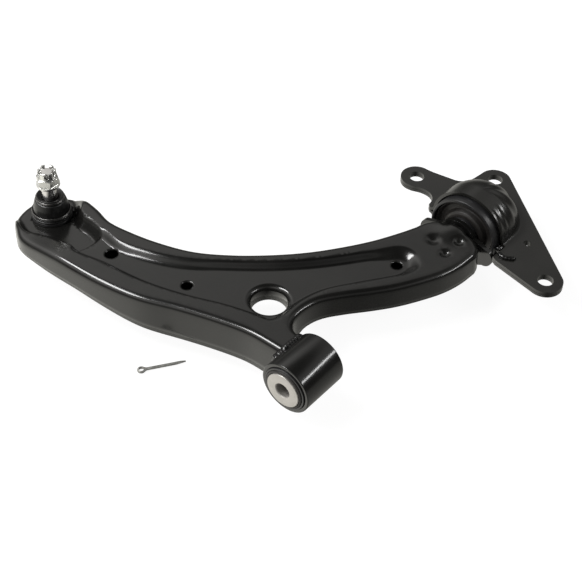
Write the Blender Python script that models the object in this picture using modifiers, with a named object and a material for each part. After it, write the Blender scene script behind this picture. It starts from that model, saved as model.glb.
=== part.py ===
"""Front lower control arm: a pressed steel box section that carries a ball joint at its outer end, a bush
in an eyelet at the front and a bush in a three-eared bracket at the rear.

Both bushes turn about one line, the pivot. Sizes are millimetres, measured from the point where the pivot
passes through the middle of the front bush: +X points inboard, away from the ball joint, +Y runs along the
pivot to the rear bush and +Z points up, along the ball stud.
"""

import math

import bmesh
import bpy
import numpy as np
from mathutils import Matrix, Vector
from mathutils.geometry import delaunay_2d_cdt

MM = 0.001
GAP = 0.3

# Where the pivot's zero point lies in the part's frame, whose origin is the middle of the box's bottom.
PIVOT = (112.34, -137.28, 40.4)

# Pressed sheets of the arm
SHEET = 3.0
OUTLINE_STEP = 11.0
LOWER_SHEET = 2.6
EDGE_R = 6.0
RIM_Z = 16.0
RIM_Z_AT_BALL = 9.0
RECESS_DEPTH = 6.0
RECESS_SLOPE = 7.0
PAD_Z = 2.0
PAD_SLOPE = 8.0
WALL_FOOT_Z = -7.5
WALL_FOOT_DROP = 12.5
WALL_DRAFT = 0.06
LIP = 4.0
SMALL_HOLES = ((-221.5, -8.5, 6.3), (-140.5, 6.5, 5.4), (-14.0, 152.5, 5.4))
BIG_HOLE = (-73.0, 41.0)
BIG_HOLE_R = 16.5
BIG_HOLE_FLARE = 5.5
BIG_HOLE_FOOT_Z = -6.0

# Front bush
EYELET_R = 25.0
EYELET_HALF = 24.0
BUSH_SLEEVE_R = 21.2
BUSH_CORE_R = 16.9
BUSH_CORE_HALF = 27.5
BOLT_R = 7.15

# Rear bush and bracket
RING_R = 36.0
RING_FRONT = 240.0
RING_BACK = 266.0
CUP_R = 40.4
CUP_Y = 263.0
CUP_FRONT = 248.0
PIN_R = 11.0
PIN_FRONT = 178.0
PIN_BACK = 288.0
PLATE = 3.0
EARS = ((-81.0, 278.0, 16.0), (-19.0, 326.0, 15.5), (97.0, 233.0, 16.5))
EAR_HOLE_R = 7.5
LOCATING_HOLE = (57.0, 265.5, 2.4)

# Ball joint
BALL_X = -311.0
BALL_Y = 0.0
BALL_Z = -7.0
BALL_R = 12.0
HOUSING_R = 17.0
HOUSING_FOOT_Z = -27.0
BOOT_FOOT_Z = 5.6
BOOT_TOP_Z = 27.0
NUT_Z = 39.0
NUT_FLATS = 19.0

# Cotter pin, lying on the ground beside the arm: its length runs from the eye's middle to the long leg's tip
COTTER_EYE = (-133.0, -63.5)
COTTER_EYE_R = 2.6
COTTER_HEADING = math.radians(56.0)
COTTER_LENGTH = 40.7
COTTER_SHORTER = 3.5
COTTER_NECK = 3.6
COTTER_R = 0.8

# The arm's outline, one open run for each side, anticlockwise seen from above
NEAR_EDGE = (
    (-322, -37), (-303, -48), (-275, -50.5), (-240, -50), (-200, -47), (-160, -39),
    (-125, -25.5), (-90, -14), (-60, -6.5), (-36, -5), (-12, -5),
)
NOTCH_EDGE = (
    (-12, 22), (-29, 23.5), (-37, 33), (-38.5, 50), (-34, 67), (-22, 85), (-6, 105), (8, 124.5),
    (20, 146), (29.5, 167), (34.5, 187), (36, 207),
)
REAR_EDGE = (
    (36, 207), (33, 216), (25, 223), (13, 227.5), (2, 228.5), (-10, 227.5), (-21, 222.5), (-28, 214),
    (-31, 204),
)
FAR_EDGE = (
    (-31, 204), (-38, 187), (-50, 162), (-66, 136), (-85, 110), (-108, 85), (-135, 61), (-165, 41),
    (-200, 28.5), (-232, 22), (-253, 20.5), (-272, 25), (-290, 27.5), (-309, 29), (-326, 23), (-336, 8),
    (-338, -9), (-333, -26), (-322, -37),
)
RECESS = (
    (-252, -31), (-216, -27), (-172, -21), (-133, -10), (-98, 4), (-72, 12), (-53, 17), (-47, 30), (-46, 55),
    (-39, 80), (-22, 107), (-6, 130), (6, 149), (6, 163), (-8, 174), (-26, 170), (-45, 142), (-70, 109),
    (-95, 82), (-122, 58), (-151, 36), (-175, 22), (-200, 12), (-224, 6), (-252, 6),
)
POCKET = (
    (-247, -26), (-243, -8), (-246, 4), (-262, 9), (-277, 10), (-286, 19), (-292, 48), (-352, 40),
    (-352, -24), (-326, -34), (-308, -39), (-291, -34), (-278, -31), (-262, -29),
)

parts = bpy.data.collections.new("control_arm")
cutters = bpy.data.collections.new("cutters")


# ---------------------------------------------------------------- curves in plan

def smooth(points, step, closed=False):
    """A Catmull-Rom curve through the points, read at about every step millimetres."""
    knots = np.array(points, float)
    if closed:
        knots = np.vstack([knots[-1], knots, knots[:2]])
    else:
        knots = np.vstack([2 * knots[0] - knots[1], knots, 2 * knots[-1] - knots[-2]])
    t = np.linspace(0, 1, 24, endpoint=False)[:, None]
    runs = []
    for a, b, c, d in zip(knots, knots[1:], knots[2:], knots[3:]):
        runs.append(b + t / 2 * ((c - a) + t * ((2 * a - 5 * b + 4 * c - d) + t * (3 * b - a - 3 * c + d))))
    runs.append(knots[-2][None])
    curve = np.vstack(runs)
    along = np.concatenate([[0], np.cumsum(np.linalg.norm(np.diff(curve, axis=0), axis=1))])
    stops = np.linspace(0, along[-1], max(3, round(along[-1] / step) + 1))
    even = np.column_stack([np.interp(stops, along, curve[:, i]) for i in (0, 1)])
    return even[:-1] if closed else even


def arc(x, y, r, start, end, steps=9):
    """Points on a circle's arc, from one angle to another in degrees."""
    angles = np.radians(np.linspace(start, end, steps))
    return np.column_stack([x + r * np.cos(angles), y + r * np.sin(angles)])


def circle(x, y, r, steps):
    return arc(x, y, r, 0, 360, steps + 1)[:-1]


def arm_outline(step):
    runs = [smooth(run, step) for run in (NEAR_EDGE, NOTCH_EDGE, REAR_EDGE, FAR_EDGE)]
    joined = [runs[0], runs[1][:-1], runs[2][:-1], runs[3][:-1]]
    return np.vstack(joined)


def inset(loop, depth):
    """The closed loop moved inwards by depth, with mitred corners."""
    before = loop - np.roll(loop, 1, axis=0)
    after = np.roll(loop, -1, axis=0) - loop
    normals = []
    for edge in (before, after):
        edge = edge / np.linalg.norm(edge, axis=1)[:, None]
        normals.append(np.column_stack([-edge[:, 1], edge[:, 0]]))
    middle = normals[0] + normals[1]
    middle = middle / np.maximum(0.5, (middle * normals[0]).sum(axis=1))[:, None]
    return loop + depth * middle


def distance_to(points, line, closed=True):
    """The distance of each point to a polyline."""
    points = np.atleast_2d(points)
    ends = np.roll(line, -1, axis=0) if closed else line[1:]
    starts = line if closed else line[:-1]
    run = ends - starts
    share = ((points[:, None] - starts) * run).sum(axis=2) / (run * run).sum(axis=1)
    nearest = starts + np.clip(share, 0, 1)[:, :, None] * run
    return np.linalg.norm(points[:, None] - nearest, axis=2).min(axis=1)


def inside(points, loop):
    """Whether each point lies inside the closed loop."""
    points = np.atleast_2d(points)
    x, y = points[:, 0, None], points[:, 1, None]
    x0, y0 = loop[:, 0], loop[:, 1]
    x1, y1 = np.roll(x0, -1), np.roll(y0, -1)
    rise = np.where(y1 == y0, 1e-9, y1 - y0)
    crossing = ((y0 > y) != (y1 > y)) & (x < x0 + (y - y0) * (x1 - x0) / rise)
    return crossing.sum(axis=1) % 2 == 1


def ease(value, low, high):
    """0 below low, 1 above high, and a smooth step between."""
    t = np.clip((value - low) / (high - low), 0, 1)
    return t * t * (3 - 2 * t)


# ---------------------------------------------------------------- heights of the arm's sheets

RECESS_LOOP = smooth(RECESS, 11, closed=True)
POCKET_LOOP = smooth(POCKET, 9, closed=True)
NEAR_LINE = smooth(NEAR_EDGE, 12)


def top_height(points):
    """Height of the upper sheet's face above the pivot, before its edge is rounded over."""
    x, y = points[:, 0], points[:, 1]
    rim = RIM_Z_AT_BALL + (RIM_Z - RIM_Z_AT_BALL) * ease(x, -305, -245)
    rim = rim + (RIM_Z - rim) * ease(y, -5, 15)
    rim = rim + 4 * np.exp(-(((x - 2) / 17) ** 2)) * ease(y, 196, 222)
    depth = np.where(inside(points, RECESS_LOOP), distance_to(points, RECESS_LOOP), 0)
    height = rim - RECESS_DEPTH * ease(depth, 0, RECESS_SLOPE)
    sunk = np.where(inside(points, POCKET_LOOP), distance_to(points, POCKET_LOOP), 0)
    return height + (PAD_Z - height) * ease(sunk, 0, PAD_SLOPE)


def foot_height(points):
    """Height of the lower edge of the arm's wall, which is deepest along the front leg."""
    deep = 1 - ease(distance_to(points, NEAR_LINE, closed=False), 18, 55)
    return WALL_FOOT_Z - WALL_FOOT_DROP * deep * ease(points[:, 0], -235, -125)


# ---------------------------------------------------------------- objects

def material_for(name, colour, metallic, roughness):
    material = bpy.data.materials.get(name) or bpy.data.materials.new(name)
    material.use_nodes = True
    shader = material.node_tree.nodes["Principled BSDF"]
    shader.inputs["Base Color"].default_value = (*colour, 1)
    shader.inputs["Metallic"].default_value = metallic
    shader.inputs["Roughness"].default_value = roughness
    return material


BLACK_COAT = ("black_coat", (0.018, 0.018, 0.019), 0.0, 0.28)
BLACK_STEEL = ("black_steel", (0.03, 0.03, 0.032), 0.3, 0.35)
RUBBER = ("rubber", (0.02, 0.018, 0.016), 0.0, 0.6)
BARE_STEEL = ("bare_steel", (0.62, 0.6, 0.57), 1.0, 0.35)
ZINC = ("zinc", (0.75, 0.75, 0.76), 1.0, 0.3)
SEAT_PLASTIC = ("seat_plastic", (0.8, 0.78, 0.7), 0.0, 0.4)


def add_empty(name, location, parent=None):
    empty = bpy.data.objects.new(name, None)
    empty.empty_display_size = 0.02
    empty.parent = parent
    empty.location = [v * MM for v in location]
    parts.objects.link(empty)
    return empty


def add_object(name, mesh, finish, parent, cutter=False):
    """A new object from a mesh in millimetres round its parent's place."""
    mesh.transform(Matrix.Scale(MM, 4))
    obj = bpy.data.objects.new(name, mesh)
    obj.parent = parent
    if cutter:
        cutters.objects.link(obj)
        obj.hide_render = True
        obj.display_type = "WIRE"
    else:
        parts.objects.link(obj)
        obj.data.materials.append(material_for(*finish))
    return obj


def facing(bm, side):
    """Turns an open surface's faces so that its extreme face in Z, top for 1 or bottom for -1, looks out."""
    bmesh.ops.recalc_face_normals(bm, faces=bm.faces)
    extreme = max(bm.faces, key=lambda face: face.calc_center_median().z * side)
    if extreme.normal.z * side < 0:
        bmesh.ops.reverse_faces(bm, faces=bm.faces)
    return bm


def mesh_of(bm, name):
    mesh = bpy.data.meshes.new(name)
    bm.to_mesh(mesh)
    bm.free()
    mesh.shade_smooth()
    mesh.set_sharp_from_angle(angle=math.radians(35))
    return mesh


def turned(name, profile, finish, parent, axis="Z", steps=28, cutter=False):
    """A turned piece: (radius, height) points down its outer side and, if it is hollow, up the inner one."""
    bm = bmesh.new()
    verts = [bm.verts.new((r, 0, h)) for r, h in profile]
    on_axis = profile[0][0] == 0 and profile[-1][0] == 0
    ring = verts if on_axis else verts + verts[:1]
    for a, b in zip(ring, ring[1:]):
        bm.edges.new((a, b))
    mesh = bpy.data.meshes.new(name)
    bm.to_mesh(mesh)
    bm.free()
    obj = add_object(name, mesh, finish, parent, cutter)
    screw = obj.modifiers.new("turn", "SCREW")
    screw.steps = steps
    screw.render_steps = steps
    screw.use_merge_vertices = True
    screw.merge_threshold = 1e-6
    screw.use_smooth_shade = True
    if axis == "Y":
        obj.rotation_euler = (math.radians(-90), 0, 0)
    return obj


def cut(obj, cutter, operation="DIFFERENCE", solver="EXACT"):
    boolean = obj.modifiers.new(cutter.name, "BOOLEAN")
    boolean.operation = operation
    boolean.solver = solver
    boolean.object = cutter
    return obj


def rod_cutter(name, r, low, high, parent, axis="Z", steps=28):
    return turned(name, [(0, high), (r, high), (r, low), (0, low)], None, parent, axis, steps, cutter=True)


# ---------------------------------------------------------------- the arm's two pressed sheets

def filled(bm, border, holes, seeds, height):
    """Fills the border with triangles between it, the holes and the seed points."""
    loops = [border] + holes
    points = [p for loop in loops for p in loop] + list(seeds)
    edges = []
    start = 0
    for loop in loops:
        count = len(loop)
        edges += [(start + i, start + (i + 1) % count) for i in range(count)]
        start += count
    plan, _, faces, origins, _, _ = delaunay_2d_cdt([Vector(p) for p in points], edges, [], 0, 1e-4)
    plan = np.array([tuple(p) for p in plan])
    heights = height(plan)
    middles = np.array([plan[list(face)].mean(axis=0) for face in faces])
    keep = inside(middles, np.array(border))
    for hole in holes:
        keep &= ~inside(middles, np.array(hole))
    used = {i for face, kept in zip(faces, keep) if kept for i in face}
    verts = {i: bm.verts.new((*plan[i], heights[i])) for i in used}
    for face, kept in zip(faces, keep):
        if kept:
            bm.faces.new([verts[i] for i in face])
    found = {origin: verts[i] for i, made in enumerate(origins) if i in verts for origin in made}
    return found


def strips(bm, rings):
    """Joins each ring of vertices to the next with quads."""
    for upper, lower in zip(rings, rings[1:]):
        count = len(upper)
        for i in range(count):
            j = (i + 1) % count
            bm.faces.new((upper[i], upper[j], lower[j], lower[i]))


def solidified(obj, thickness):
    solid = obj.modifiers.new("thickness", "SOLIDIFY")
    solid.thickness = thickness * MM
    solid.offset = -1
    solid.use_even_offset = True
    return obj


def seeds_inside(lines, border, holes, room):
    """The lines' points that lie inside the border and clear of it and of the holes."""
    points = np.vstack(lines)
    keep = inside(points, border) & (distance_to(points, border) > room)
    for hole in holes:
        keep &= ~inside(points, hole) & (distance_to(points, hole) > room)
    return points[keep]


def sheet_surface(outline, height, foot, lines, holes, edge_r, draft, depths):
    """The outer face of a pressed sheet: filled top, rounded edge and a wall down to the foot."""
    bm = bmesh.new()
    face = inset(outline, edge_r)
    seeds = seeds_inside(lines, face, holes, 1.6) if lines else []
    found = filled(bm, face, holes, seeds, height)
    rings = [[found[i] for i in range(len(face))]]
    for depth in depths:
        ring = inset(outline, depth)
        drop = edge_r - math.sqrt(edge_r**2 - (edge_r - depth) ** 2)
        rings.append([bm.verts.new((*p, h - drop)) for p, h in zip(ring, height(ring))])
    foot_z = foot(outline)
    spread = np.maximum(0, np.array([v.co.z for v in rings[-1]]) - foot_z) * draft
    flared = outline - (inset(outline, 1.0) - outline) * spread[:, None]
    rings.append([bm.verts.new((*p, z)) for p, z in zip(flared, foot_z)])
    strips(bm, rings)
    return bm, found


def upper_shell(parent):
    outline = arm_outline(OUTLINE_STEP)
    lines = [RECESS_LOOP, inset(RECESS_LOOP, RECESS_SLOPE), inset(RECESS_LOOP, RECESS_SLOPE / 2)]
    lines += [POCKET_LOOP, inset(POCKET_LOOP, PAD_SLOPE / 2), inset(POCKET_LOOP, PAD_SLOPE)]
    lines.append(circle(BALL_X, BALL_Y, HOUSING_R + 4, 24))
    holes = [circle(x, y, r, 18) for x, y, r in SMALL_HOLES]
    holes.append(circle(*BIG_HOLE, BIG_HOLE_R + BIG_HOLE_FLARE, 28))
    holes.append(circle(BALL_X, BALL_Y, HOUSING_R + GAP, 32))
    bm, found = sheet_surface(
        outline, top_height, foot_height, lines, holes, EDGE_R, WALL_DRAFT, (2.2, 0.0)
    )
    first = sum(len(loop) for loop in [outline] + holes[:3])
    ring = [found[i] for i in range(first, first + 28)]
    rings = [ring]
    level = sum(v.co.z for v in ring) / len(ring)
    for turn in (30, 60, 90):
        r = BIG_HOLE_R + BIG_HOLE_FLARE * (1 - math.sin(math.radians(turn)))
        z = level - BIG_HOLE_FLARE * (1 - math.cos(math.radians(turn)))
        rings.append([bm.verts.new((*p, z)) for p in circle(*BIG_HOLE, r, 28)])
    rings.append([bm.verts.new((*p, BIG_HOLE_FOOT_Z)) for p in circle(*BIG_HOLE, BIG_HOLE_R, 28)])
    strips(bm, rings)
    shell = add_object("arm_upper_shell", mesh_of(facing(bm, 1), "arm_upper_shell"), BLACK_COAT, parent)
    return solidified(shell, SHEET)


def lower_shell(parent):
    outline = inset(arm_outline(OUTLINE_STEP), SHEET + 3 * GAP)
    holes = [circle(*BIG_HOLE, BIG_HOLE_R + SHEET + GAP, 28), circle(BALL_X, BALL_Y, HOUSING_R + GAP, 32)]

    def height(points):
        return -foot_height(points) - GAP

    def lip_top(points):
        return -foot_height(points) - LIP

    bm, _ = sheet_surface(outline, height, lip_top, [NEAR_LINE + (0, 30)], holes, 3.2, 0.0, (0.9, 0.0))
    bmesh.ops.transform(bm, matrix=Matrix.Diagonal((1, 1, -1, 1)), verts=bm.verts)
    shell = add_object("arm_lower_shell", mesh_of(facing(bm, -1), "arm_lower_shell"), BLACK_COAT, parent)
    return solidified(shell, LOWER_SHEET)


def arm_shells(parent):
    eyelet = rod_cutter("eyelet_room", EYELET_R + GAP, -45, 45, parent, "Y", steps=64)
    pin = rod_cutter("pin_room", PIN_R + GAP, PIN_FRONT - 1, PIN_BACK, parent, "Y")
    for shell in (upper_shell(parent), lower_shell(parent)):
        cut(shell, eyelet, solver="MANIFOLD")
        cut(shell, pin, solver="MANIFOLD")


# ---------------------------------------------------------------- front bush

def tube(name, outer, inner, low, high, finish, parent, chamfer=0.6, steps=32):
    profile = [
        (outer - chamfer, high), (outer, high - chamfer), (outer, low + chamfer), (outer - chamfer, low),
        (inner + chamfer / 2, low), (inner, low + chamfer / 2), (inner, high - chamfer / 2),
        (inner + chamfer / 2, high),
    ]
    return turned(name, profile, finish, parent, "Y", steps)


def front_bush(parent):
    tube("front_eyelet", EYELET_R, BUSH_SLEEVE_R + GAP, -EYELET_HALF, EYELET_HALF, BLACK_COAT, parent)
    sleeve_half = EYELET_HALF + 1.2
    sleeve_bore = BUSH_SLEEVE_R - 1.8
    tube(
        "front_bush_sleeve", BUSH_SLEEVE_R, sleeve_bore, -sleeve_half, sleeve_half, BLACK_STEEL, parent,
        chamfer=0.4,
    )
    outer = sleeve_bore - GAP
    inner = BUSH_CORE_R + GAP
    edge = EYELET_HALF + 2.2
    waist = EYELET_HALF - 1.5
    turned(
        "front_bush_rubber",
        [
            (inner + 0.4, edge), (outer - 0.3, edge - 0.3), (outer, waist), (outer, -waist),
            (outer - 0.3, 0.3 - edge), (inner + 0.4, -edge), (inner, -waist), (inner, waist),
        ],
        RUBBER, parent, "Y", 32,
    )
    tube("front_bush_core", BUSH_CORE_R, BOLT_R, -BUSH_CORE_HALF, BUSH_CORE_HALF, BARE_STEEL, parent)


# ---------------------------------------------------------------- rear pin, bush and bracket

def rear_pin(parent):
    turned(
        "rear_pin",
        [
            (0, PIN_BACK), (PIN_R - 3, PIN_BACK), (PIN_R - 1.5, PIN_BACK - 2), (PIN_R - 1.5, 236),
            (PIN_R, 235.5), (PIN_R, PIN_FRONT + 1.5), (PIN_R - 1.5, PIN_FRONT), (0, PIN_FRONT),
        ],
        BLACK_STEEL, parent, "Y", 24,
    )
    hub = arc(0, 0, 20, 25, 155, 9)
    left = arc(-31, -6, 10, 120, 270, 8)
    right = arc(31, -6, 10, -90, 60, 8)
    outline = np.vstack([hub, left, right])
    hole = circle(0, 0, PIN_R + GAP, 28)
    bm = bmesh.new()
    filled(bm, outline, [hole], [], lambda plan: np.zeros(len(plan)))
    grown = bmesh.ops.extrude_face_region(bm, geom=list(bm.faces))["geom"]
    bmesh.ops.translate(bm, vec=(0, 0, 4.5), verts=[g for g in grown if isinstance(g, bmesh.types.BMVert)])
    bmesh.ops.recalc_face_normals(bm, faces=bm.faces)
    flange = add_object("rear_pin_flange", mesh_of(bm, "rear_pin_flange"), BLACK_COAT, parent)
    flange.rotation_euler = (math.radians(90), 0, 0)
    flange.location = (0, 234.5 * MM, 0)


def rear_bush(parent):
    tube("rear_bush_ring", RING_R, RING_R - 2.8, RING_FRONT, RING_BACK, BLACK_STEEL, parent, steps=40)
    outer = RING_R - 2.8 - GAP
    core = PIN_R - 1.5 + GAP
    turned(
        "rear_bush_rubber",
        [
            (core + 7.5, RING_BACK + 6), (outer - 6, RING_BACK + 1), (outer, RING_BACK - 4),
            (outer, RING_FRONT + 5), (outer - 2, RING_FRONT + 2.5), (outer - 6, RING_FRONT + 7),
            (outer - 11, RING_FRONT + 6), (outer - 13, RING_FRONT + 0.5), (core + 7.5, RING_FRONT + 0.5),
        ],
        RUBBER, parent, "Y", 32,
    )
    tube("rear_bush_core", core + 7.2, core, 237.5, RING_BACK + 12, BLACK_STEEL, parent, steps=28)


def bracket_outline():
    """The bracket plates' outline, anticlockwise from the right foot of the cup's mouth."""
    left, rear, right = EARS
    shoulder = smooth(((-35, 322), (-37.5, 309), (-45, 300), (-58, 297), (-72, 294.5)), 8)
    neck = smooth(((-76, 262.6), (-66, 266), (-56, 265.5), (-48.5, 259), (-46.5, 248)), 8)
    return np.vstack([
        [(42.5, CUP_FRONT), (42.5, 228), (47, 225.5)],
        arc(*right, -105, 51, 14),
        arc(*rear, 51, 178, 12),
        shoulder,
        arc(*left, 85, 268, 14),
        neck,
    ])


def cup_rings(steps_round, steps_up, fillet, flat_z):
    """Rings of the cup from its foot up to near its crown: each runs from the right front edge, round the
    back, to the left front edge."""
    rings = []
    levels = [("fillet", t) for t in (0.0, 0.5)]
    levels += [("cup", t) for t in np.linspace(0, 1, steps_up, endpoint=False)]
    low = math.asin((fillet + flat_z) / (CUP_R + fillet))
    for kind, t in levels:
        if kind == "fillet":
            turn = t * (math.pi / 2 - low)
            r = (CUP_R + fillet) * math.cos(low) - fillet * math.sin(turn)
            z = flat_z + fillet * (1 - math.cos(turn))
        else:
            rise = low + t * (math.pi / 2 - low)
            r = CUP_R * math.cos(rise)
            z = CUP_R * math.sin(rise)
        ring = [(r, CUP_FRONT, z)]
        for a in np.linspace(0, math.pi, steps_round):
            ring.append((r * math.cos(a), CUP_Y + r * math.sin(a), z))
        ring.append((-r, CUP_FRONT, z))
        rings.append(ring)
    return rings


def bracket_half(name, side, parent):
    """One pressed plate of the bracket; side is 1 for the upper one and -1 for the lower one."""
    fillet = 4.0
    flat_z = PLATE + GAP / 2
    rings = cup_rings(13, 5, fillet, flat_z)
    foot = np.array([p[:2] for p in rings[0]])
    outline = np.vstack([bracket_outline(), foot[::-1][1:-1]])
    outline[0] = foot[0]
    outline[len(bracket_outline()) - 1] = foot[-1]
    holes = [circle(x, y, EAR_HOLE_R, 24) for x, y, _ in EARS]
    holes.append(circle(*LOCATING_HOLE, 12))
    bm = bmesh.new()
    found = filled(bm, outline, holes, [], lambda plan: np.full(len(plan), flat_z))
    plates = len(bracket_outline())
    lowest = [found[0]] + [found[i] for i in range(len(outline) - 1, plates - 1, -1)] + [found[plates - 1]]
    rows = [lowest] + [[bm.verts.new(p) for p in ring] for ring in rings[1:]]
    for lower, upper in zip(rows, rows[1:]):
        for a, b, c, d in zip(lower, lower[1:], upper[1:], upper):
            bm.faces.new((a, b, c, d))
    front = bm.verts.new((0, CUP_FRONT, CUP_R))
    crown = bm.verts.new((0, CUP_Y, CUP_R))
    last = rows[-1]
    bm.faces.new((last[0], last[1], crown, front))
    bm.faces.new((last[-2], last[-1], front, crown))
    for a, b in zip(last[1:-2], last[2:-1]):
        bm.faces.new((a, b, crown))
    if side < 0:
        bmesh.ops.transform(bm, matrix=Matrix.Diagonal((1, 1, -1, 1)), verts=bm.verts)
    return solidified(add_object(name, mesh_of(facing(bm, side), name), BLACK_COAT, parent), PLATE)


# ---------------------------------------------------------------- ball joint

def ball_joint(parent):
    body_r = HOUSING_R
    bore_r = BALL_R + 2.6
    turned(
        "ball_housing",
        [
            (body_r + 2.0, 5.0), (body_r + 2.6, 4.4), (body_r + 2.6, PAD_Z + GAP), (body_r, PAD_Z + GAP),
            (body_r, HOUSING_FOOT_Z + 1), (body_r - 1, HOUSING_FOOT_Z), (bore_r + 0.6, HOUSING_FOOT_Z),
            (bore_r + 0.6, -22.4), (bore_r, -22.4), (bore_r, 0), (12.6, 3.2), (12.6, 5.0),
        ],
        BLACK_STEEL, parent,
    )
    turned(
        "housing_cap",
        [(0, -22.8), (bore_r + 0.2, -22.8), (bore_r + 0.2, -25), (10, -25.4), (0, -25.4)],
        BLACK_STEEL, parent, steps=24,
    )
    seat = [(bore_r - GAP, 0), (bore_r - GAP, -22.1), (6, -22.1)]
    for angle in range(-62, 33, 16):
        rise = math.radians(angle)
        seat.append(((BALL_R + GAP) * math.cos(rise), BALL_Z + (BALL_R + GAP) * math.sin(rise)))
    turned("ball_seat", seat, SEAT_PLASTIC, parent, steps=24)
    ball = [
        (BALL_R * math.cos(math.radians(rise)), BALL_Z + BALL_R * math.sin(math.radians(rise)))
        for rise in range(60, -80, -20)
    ]
    turned(
        "ball_stud",
        [(0, 57.5), (5.0, 57.5), (5.9, 56.6), (5.9, 39.5), (6.6, 38.6), (7.9, 24.0), (7.9, 14.0), (6.0, 8.0)]
        + ball + [(4.5, BALL_Z - 11.0), (0, BALL_Z - 11.0)],
        BARE_STEEL, parent, steps=24,
    )
    turned(
        "dust_boot",
        [
            (12.2, BOOT_TOP_Z), (12.6, BOOT_TOP_Z - 1.5), (13.6, 22.8), (17.6, 14), (18.4, 10), (18.0, 8.3),
            (19.6, 7.6), (19.6, BOOT_FOOT_Z), (15.4, BOOT_FOOT_Z), (15.4, 10), (14.6, 14), (11.4, 22),
            (8.6, 24.4), (8.4, BOOT_TOP_Z),
        ],
        RUBBER, parent,
    )
    add_ring("boot_lower_ring", 19.2, 9.0, 0.7, parent)
    add_ring("boot_upper_ring", 13.9, BOOT_TOP_Z - 1.6, 0.8, parent)
    castle_nut(parent)


def add_ring(name, r, z, wire, parent):
    profile = [(r + wire * math.cos(a), z + wire * math.sin(a)) for a in np.radians(np.arange(60, -300, -60))]
    return turned(name, profile, BLACK_STEEL, parent, steps=24)


def castle_nut(parent):
    corner = NUT_FLATS / 2 / math.cos(math.radians(30))
    profile = [
        (9.0, NUT_Z + 2.4), (11.2, NUT_Z + 1.6), (11.2, NUT_Z), (6.9, NUT_Z), (6.2, NUT_Z + 0.7),
        (6.2, NUT_Z + 16.0), (6.9, NUT_Z + 16.6), (8.3, NUT_Z + 16.6), (8.7, NUT_Z + 15.6),
        (8.7, NUT_Z + 9.5),
    ]
    nut = turned("castle_nut", profile, ZINC, parent, steps=24)
    bm = bmesh.new()
    bmesh.ops.create_cone(
        bm, cap_ends=True, segments=6, radius1=corner, radius2=corner, depth=9,
        matrix=Matrix.Translation((0, 0, NUT_Z + 5.5)),
    )
    mesh = bpy.data.meshes.new("nut_hexagon")
    bm.to_mesh(mesh)
    bm.free()
    hexagon = add_object("nut_hexagon", mesh, None, parent, cutter=True)
    cut(nut, hexagon, "UNION")
    cut(nut, rod_cutter("nut_thread", 6.2, NUT_Z - 3, NUT_Z + 20, parent, steps=24))
    for i in range(3):
        bm = bmesh.new()
        place = Matrix.Translation((0, 0, NUT_Z + 15.0)) @ Matrix.Diagonal((24, 3.4, 7, 1))
        bmesh.ops.create_cube(bm, size=1, matrix=place)
        mesh = bpy.data.meshes.new("nut_slot")
        bm.to_mesh(mesh)
        bm.free()
        slot = add_object(f"nut_slot_{i}", mesh, None, parent, cutter=True)
        slot.rotation_euler = (0, 0, math.radians(60 * i + 15))
        cut(nut, slot)


# ---------------------------------------------------------------- cotter pin

def cotter_pin(parent):
    """A split pin: an eye, and two half-round legs that lie together, made here as one closed bar."""
    apart = COTTER_R + GAP / 2
    tips = [(COTTER_LENGTH, apart), (COTTER_LENGTH - COTTER_SHORTER, -apart)]
    eye = [tuple(p) for p in arc(0, 0, COTTER_EYE_R, 30, 330, 14)]
    line = [tips[0], (COTTER_NECK, apart)] + eye + [(COTTER_NECK, -apart), tips[1]]
    curve = bpy.data.curves.new("cotter_line", "CURVE")
    curve.dimensions = "3D"
    curve.bevel_depth = COTTER_R * MM
    curve.bevel_resolution = 2
    curve.use_fill_caps = True
    spline = curve.splines.new("POLY")
    spline.points.add(len(line) - 1)
    for point, (x, y) in zip(spline.points, line):
        point.co = (x * MM, y * MM, 0, 1)
    guide = bpy.data.objects.new("cotter_guide", curve)
    parts.objects.link(guide)
    bpy.context.view_layer.update()
    mesh = bpy.data.meshes.new_from_object(guide.evaluated_get(bpy.context.evaluated_depsgraph_get()))
    bpy.data.objects.remove(guide)
    bm = bmesh.new()
    bm.from_mesh(mesh)
    bmesh.ops.remove_doubles(bm, verts=bm.verts, dist=1e-7)
    bm.to_mesh(mesh)
    bm.free()
    mesh.materials.clear()
    pin = bpy.data.objects.new("cotter_pin", mesh)
    pin.data.materials.append(material_for(*ZINC))
    pin.parent = parent
    pin.location = (COTTER_EYE[0] * MM, COTTER_EYE[1] * MM, (COTTER_R - PIVOT[2]) * MM)
    pin.rotation_euler = (0, 0, COTTER_HEADING)
    parts.objects.link(pin)


def main():
    for obj in list(bpy.data.objects):
        bpy.data.objects.remove(obj)
    for collection in (parts, cutters):
        bpy.context.scene.collection.children.link(collection)
    pivot = add_empty("pivot", PIVOT)
    ball = add_empty("ball_axis", (BALL_X, BALL_Y, 0), pivot)
    arm_shells(pivot)
    front_bush(pivot)
    rear_pin(pivot)
    rear_bush(pivot)
    bracket_half("bracket_upper", 1, pivot)
    bracket_half("bracket_lower", -1, pivot)
    ball_joint(ball)
    cotter_pin(pivot)


main()
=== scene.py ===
"""Looks of a front lower control arm, built round its CAD frame: pressed sheets in gloss black dip coat, an
eyelet with its bush, a bush in a three-eared bracket, a ball joint with boot, stud and castle nut, and a
loose cotter pin.

Sizes are millimetres from the pivot's zero point, the middle of the front bush: +X inboard, +Y along the
pivot to the rear bush, +Z up. Each piece is moved to the frame as it is added.
"""

import math

import bmesh
import bpy
import numpy as np
from mathutils import Matrix, Vector
from mathutils.geometry import delaunay_2d_cdt


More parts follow.
